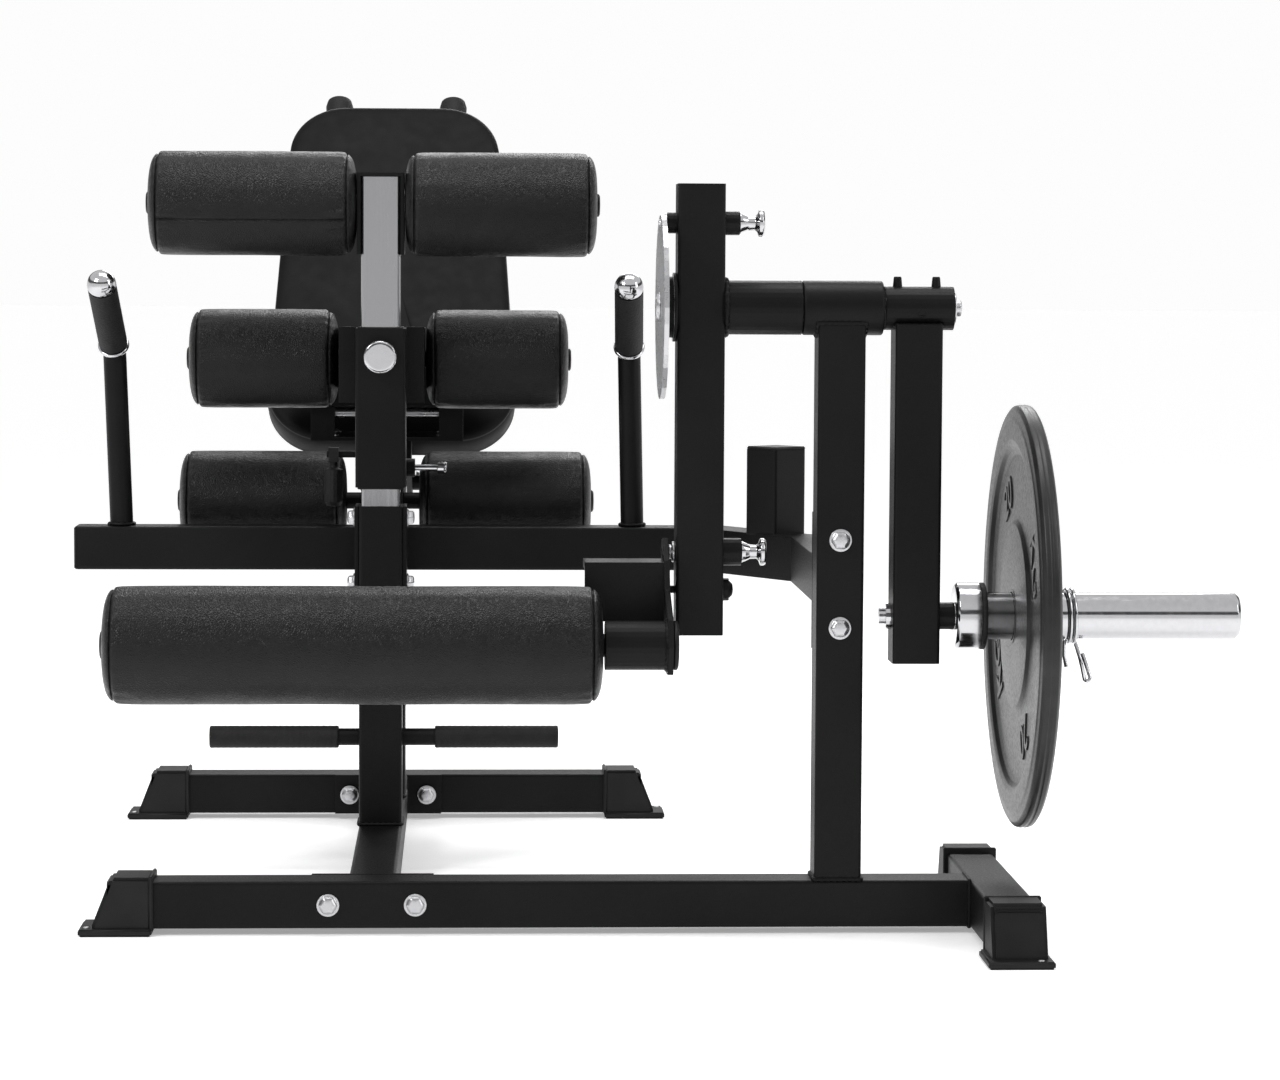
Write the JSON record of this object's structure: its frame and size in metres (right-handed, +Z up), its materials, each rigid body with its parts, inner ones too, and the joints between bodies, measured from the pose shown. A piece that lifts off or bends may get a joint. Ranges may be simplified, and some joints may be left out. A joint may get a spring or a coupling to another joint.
{
  "type": "plate-loaded leg curl machine",
  "caption": "Plate-loaded leg curl and extension machine: padded rollers, sliding seat, reclining back, indexed swing arm and weight horn.",
  "frame": {"origin": "centre of the footprint box, on the floor", "axes": "+Z up, +Y from the leg roller end towards the backrest, +X towards the weight horn"},
  "size_m": [1.278, 1.623, 0.9507],
  "materials": {
    "frame_paint": "black textured powder coat",
    "foot_plastic": "moulded, fine grain",
    "chrome": "polished",
    "bearing_steel": "ground",
    "grip_rubber": "matt",
    "vinyl": "satin grained vinyl",
    "plate_coat": "dark grey rubber coat over iron"
  },
  "bodies": {
    "frame": {"front_base": "frame_paint", "lower_beam": "frame_paint", "side_base": "frame_paint", "rear_base": "frame_paint", "column": "frame_paint", "foot_bar": "frame_paint", "thigh_bracket": "frame_paint", "cross_tube": "frame_paint", "cross_elbow": "frame_paint", "upright": "frame_paint", "bearing_housing": "frame_paint", "handle_left": "frame_paint", "handle_right": "frame_paint", "seat_tube": "frame_paint", "rear_post": "frame_paint", "lower_axle": "frame_paint", "front_foot": "foot_plastic", "side_foot_front": "foot_plastic", "side_foot_rear": "foot_plastic", "rear_foot_left": "foot_plastic", "rear_foot_right": "foot_plastic", "mast": "chrome", "handle_cap_left": "chrome", "handle_cap_right": "chrome", "bearing_left": "bearing_steel", "bearing_right": "bearing_steel", "foot_grip_left": "grip_rubber", "foot_grip_right": "grip_rubber", "handle_grip_left": "grip_rubber", "handle_grip_right": "grip_rubber"},
    "thigh_roller_left": {"thigh_roller_left": "vinyl"},
    "thigh_roller_right": {"thigh_roller_right": "vinyl"},
    "knee_carriage": {"knee_carriage": "frame_paint"},
    "knee_roller_left": {"knee_roller_left": "vinyl"},
    "knee_roller_right": {"knee_roller_right": "vinyl"},
    "carriage_knob": {"carriage_knob": "chrome"},
    "lower_roller_left": {"lower_roller_left": "vinyl"},
    "lower_roller_right": {"lower_roller_right": "vinyl"},
    "rail_pin": {"rail_pin": "chrome"},
    "rail_lever": {"rail_lever": "grip_rubber"},
    "seat_assembly": {"seat_rail": "frame_paint", "seat_bracket": "frame_paint", "seat_pad": "vinyl"},
    "backrest": {"back_frame": "frame_paint", "back_pad": "vinyl", "back_grip_left": "grip_rubber", "back_grip_right": "grip_rubber"},
    "back_pin": {"back_pin": "chrome"},
    "weight_assembly": {"main_shaft": "chrome", "index_disc": "chrome", "weight_arm": "frame_paint", "horn_axle": "chrome"},
    "swing_assembly": {"swing_arm": "frame_paint"},
    "arm_pin": {"arm_pin": "chrome"},
    "bracket_pin": {"bracket_pin": "chrome"},
    "leg_bracket": {"roller_bracket": "frame_paint"},
    "leg_roller": {"leg_roller": "vinyl"},
    "horn": {"horn_sleeve": "chrome"},
    "plate": {"weight_plate": "plate_coat"},
    "clip": {"spring_clip": "chrome"}
  },
  "joints": [
    {"name": "thigh_spin_left", "type": "hinge", "parent": "frame", "child": "thigh_roller_left", "pos_m": [-0.283, -0.1662, 0.778], "axis": [1, 0, 0], "continuous": true},
    {"name": "thigh_spin_right", "type": "hinge", "parent": "frame", "child": "thigh_roller_right", "pos_m": [-0.283, -0.1662, 0.778], "axis": [1, 0, 0], "continuous": true},
    {"name": "carriage_slide", "type": "slide", "parent": "frame", "child": "knee_carriage", "axis": [0, 0, 1], "range_m": [-0.014, 0.07]},
    {"name": "knee_spin_left", "type": "hinge", "parent": "knee_carriage", "child": "knee_roller_left", "pos_m": [-0.283, -0.0662, 0.597], "axis": [1, 0, 0], "continuous": true},
    {"name": "knee_spin_right", "type": "hinge", "parent": "knee_carriage", "child": "knee_roller_right", "pos_m": [-0.283, -0.0662, 0.597], "axis": [1, 0, 0], "continuous": true},
    {"name": "knob_turn", "type": "hinge", "parent": "knee_carriage", "child": "carriage_knob", "pos_m": [-0.283, -0.1662, 0.602], "axis": [0, -1, 0], "continuous": true},
    {"name": "lower_spin_left", "type": "hinge", "parent": "frame", "child": "lower_roller_left", "pos_m": [-0.283, 0.0088, 0.424], "axis": [1, 0, 0], "continuous": true},
    {"name": "lower_spin_right", "type": "hinge", "parent": "frame", "child": "lower_roller_right", "pos_m": [-0.283, 0.0088, 0.424], "axis": [1, 0, 0], "continuous": true},
    {"name": "rail_pin_pull", "type": "slide", "parent": "frame", "child": "rail_pin", "axis": [1, 0, 0], "range_m": [0, 0.012], "stiffness_N_per_m": 400},
    {"name": "lever_swing", "type": "hinge", "parent": "frame", "child": "rail_lever", "pos_m": [-0.341, -0.0762, 0.484], "axis": [-1, 0, 0], "range_deg": [0, 35]},
    {"name": "seat_slide", "type": "slide", "parent": "frame", "child": "seat_assembly", "axis": [0, 1, 0], "range_m": [-0.03, 0.03]},
    {"name": "back_recline", "type": "hinge", "parent": "seat_assembly", "child": "backrest", "pos_m": [-0.283, 0.4438, 0.425], "axis": [-1, 0, 0], "range_deg": [0, 50]},
    {"name": "back_pin_pull", "type": "slide", "parent": "seat_assembly", "child": "back_pin", "axis": [1, 0, 0], "range_m": [0, 0.012], "stiffness_N_per_m": 400},
    {"name": "shaft_swing", "type": "hinge", "parent": "frame", "child": "weight_assembly", "pos_m": [0.292, -0.5712, 0.6635], "axis": [-1, 0, 0], "range_deg": [-60, 100]},
    {"name": "arm_index", "type": "hinge", "parent": "weight_assembly", "child": "swing_assembly", "pos_m": [0.062, -0.5712, 0.6635], "axis": [-1, 0, 0], "range_deg": [0, 90]},
    {"name": "arm_pin_pull", "type": "slide", "parent": "swing_assembly", "child": "arm_pin", "axis": [1, 0, 0], "range_m": [0, 0.012], "stiffness_N_per_m": 400},
    {"name": "bracket_pin_pull", "type": "slide", "parent": "swing_assembly", "child": "bracket_pin", "axis": [1, 0, 0], "range_m": [0, 0.012], "stiffness_N_per_m": 400},
    {"name": "bracket_tilt", "type": "hinge", "parent": "swing_assembly", "child": "leg_bracket", "pos_m": [0.026, -0.5712, 0.365], "axis": [-1, 0, 0], "range_deg": [0, 60]},
    {"name": "leg_roller_spin", "type": "hinge", "parent": "leg_bracket", "child": "leg_roller", "pos_m": [-0.283, -0.6812, 0.316], "axis": [1, 0, 0], "continuous": true},
    {"name": "horn_spin", "type": "hinge", "parent": "weight_assembly", "child": "horn", "pos_m": [0.497, -0.5712, 0.337], "axis": [1, 0, 0], "continuous": true},
    {"name": "clip_slide", "type": "slide", "parent": "horn", "child": "clip", "axis": [1, 0, 0], "range_m": [0, 0.25]},
    {"name": "plate_slide", "type": "slide", "parent": "horn", "child": "plate", "axis": [1, 0, 0], "range_m": [0, 0.25]}
  ],
  "couplings": [
    {"joint": "plate_slide", "follows": "clip_slide", "ratio": 1}
  ]
}
